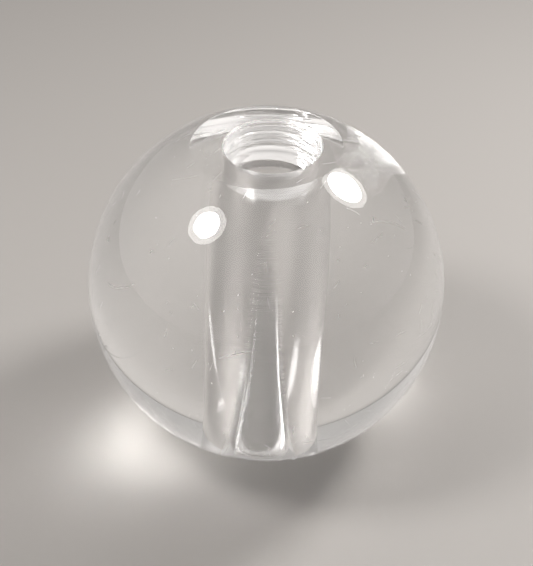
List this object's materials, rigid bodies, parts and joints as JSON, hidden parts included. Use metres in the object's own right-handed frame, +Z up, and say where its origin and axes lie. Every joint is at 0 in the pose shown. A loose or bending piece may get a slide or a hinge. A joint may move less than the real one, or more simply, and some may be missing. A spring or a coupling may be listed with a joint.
{
  "type": "drilled clear ball",
  "caption": "Clear solid ball with a flat land on top, a flat foot and a blind bore that narrows to a flat floor.",
  "frame": {"origin": "centre of the flat foot that the ball stands on", "axes": "+Z up, square to the foot and the land; the bore leans 2 degrees from +Z towards +X"},
  "size_m": [0.0762, 0.0762, 0.0698],
  "materials": {
    "clear_acrylic": "polished"
  },
  "bodies": {
    "root": {"clear_ball": "clear_acrylic"}
  },
  "joints": []
}
